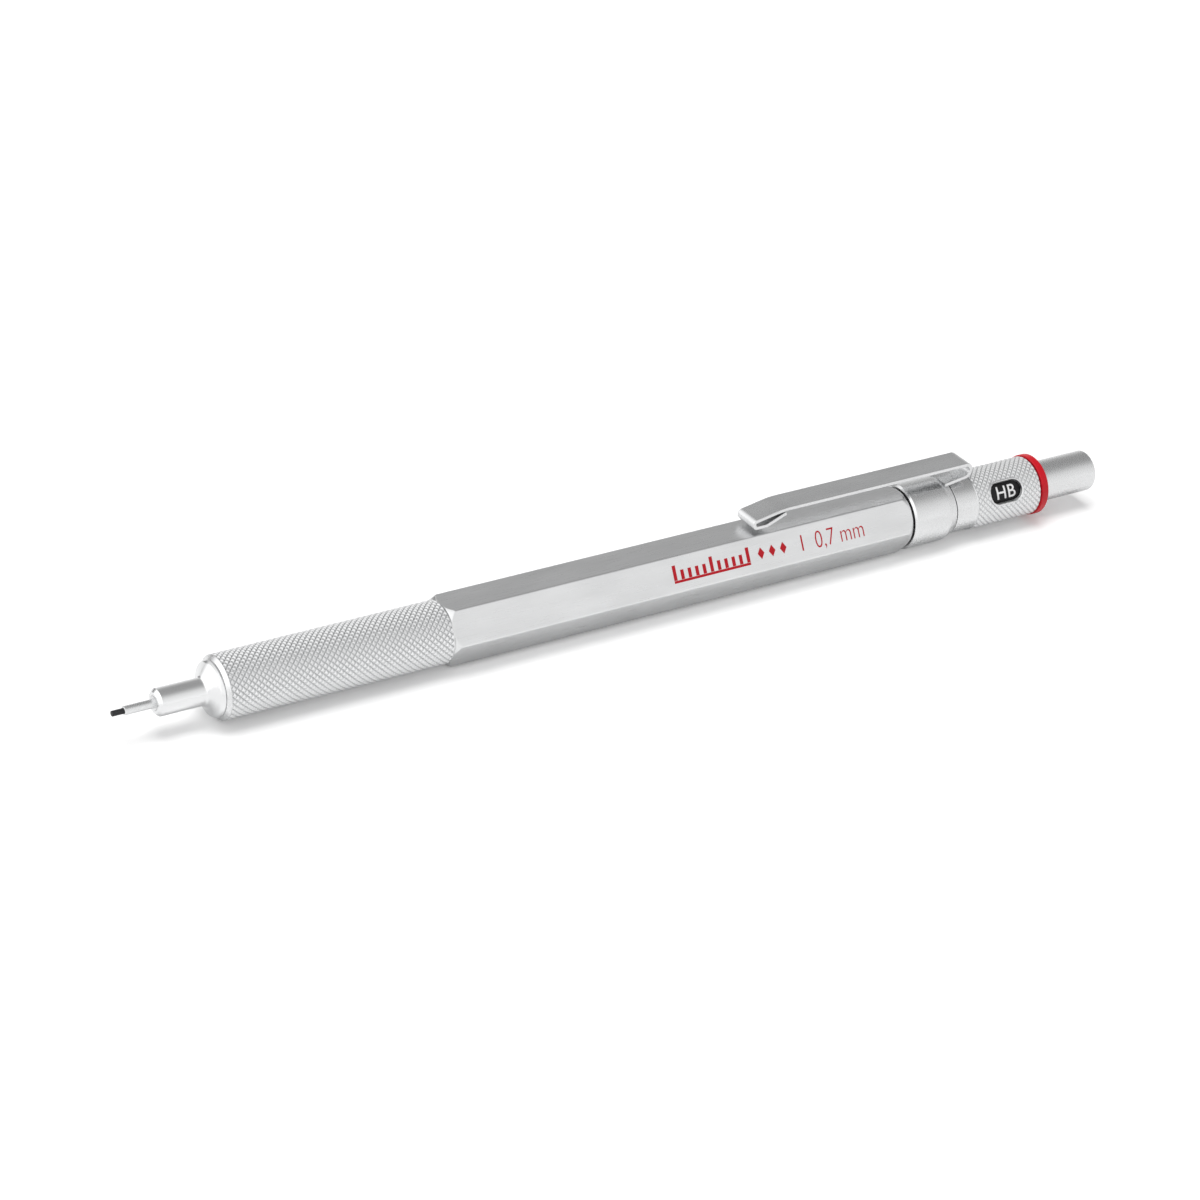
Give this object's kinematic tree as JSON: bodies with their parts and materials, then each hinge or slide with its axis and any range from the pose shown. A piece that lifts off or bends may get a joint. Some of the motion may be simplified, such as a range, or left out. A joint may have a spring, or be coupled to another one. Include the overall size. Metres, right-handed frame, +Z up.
{
  "type": "mechanical pencil",
  "caption": "Metal drafting pencil with knurled grip, hexagonal barrel, sprung pocket clip, turning hardness ring, red end ring and push button.",
  "frame": {"origin": "bottom centre of the bounding box, under the middle of the pencil", "axes": "+X along the pencil toward the push button, -X toward the lead, +Z up through the pocket clip, +Y completes the right-handed frame"},
  "size_m": [0.1436, 0.0088, 0.0109],
  "materials": {
    "satin_silver": "satin plating over brass",
    "polished_silver": "polished plating",
    "spring_steel": "drawn wire",
    "brass": "machined",
    "black_plastic": "satin",
    "white_plastic": "satin",
    "red_plastic": "satin",
    "rubber": "matt",
    "eraser_white": "matt",
    "graphite": "slightly glossy"
  },
  "bodies": {
    "barrel": {"lead_sleeve": "polished_silver", "nose_cone": "polished_silver", "lead_retainer": "rubber", "grip_sleeve": "satin_silver", "chuck_housing": "black_plastic", "hex_barrel": "satin_silver", "rear_bushing": "black_plastic", "grade_drum": "black_plastic", "clip_band": "satin_silver", "red_end_ring": "red_plastic"},
    "grade_ring": {"grade_ring": "satin_silver"},
    "clip": {"pocket_clip": "satin_silver"},
    "mechanism": {"chuck": "brass", "chuck_coupler": "brass", "reservoir_tube": "white_plastic", "spare_leads": "graphite", "return_spring": "spring_steel"},
    "cap": {"button_cap": "satin_silver"},
    "eraser": {"eraser_ferrule": "white_plastic", "eraser": "eraser_white", "cleaning_pin": "spring_steel"},
    "clutch_ring": {"clutch_ring": "brass"},
    "lead": {"lead": "graphite"}
  },
  "joints": [
    {"name": "button_press", "type": "slide", "parent": "barrel", "child": "mechanism", "axis": [-1, 0, 0], "range_m": [0, 0.004], "stiffness_N_per_m": 1200, "springref_m": -0.002, "deforming": ["return_spring"]},
    {"name": "grade_ring_turn", "type": "hinge", "parent": "barrel", "child": "grade_ring", "pos_m": [0.05475, 0, 0.0043], "axis": [1, 0, 0], "continuous": true},
    {"name": "clip_flex", "type": "hinge", "parent": "barrel", "child": "clip", "pos_m": [0.04665, 0, 0.00836], "axis": [0, 1, 0], "range_deg": [0, 4], "stiffness_Nm_per_rad": 2.9, "springref_deg": -0.57},
    {"name": "cap_pull", "type": "slide", "parent": "mechanism", "child": "cap", "axis": [1, 0, 0], "range_m": [0, 0.04]},
    {"name": "eraser_pull", "type": "slide", "parent": "mechanism", "child": "eraser", "axis": [1, 0, 0], "range_m": [0, 0.022]},
    {"name": "clutch_ring_slide", "type": "slide", "parent": "barrel", "child": "clutch_ring", "axis": [-1, 0, 0], "range_m": [0, 0.0008]},
    {"name": "lead_feed", "type": "slide", "parent": "barrel", "child": "lead", "axis": [-1, 0, 0], "range_m": [0, 0.0008]}
  ],
  "couplings": [
    {"joint": "eraser_pull", "follows": "cap_pull", "ratio": 0.55},
    {"joint": "clutch_ring_slide", "follows": "button_press", "ratio": 0.2},
    {"joint": "lead_feed", "follows": "button_press", "ratio": 0.2}
  ]
}
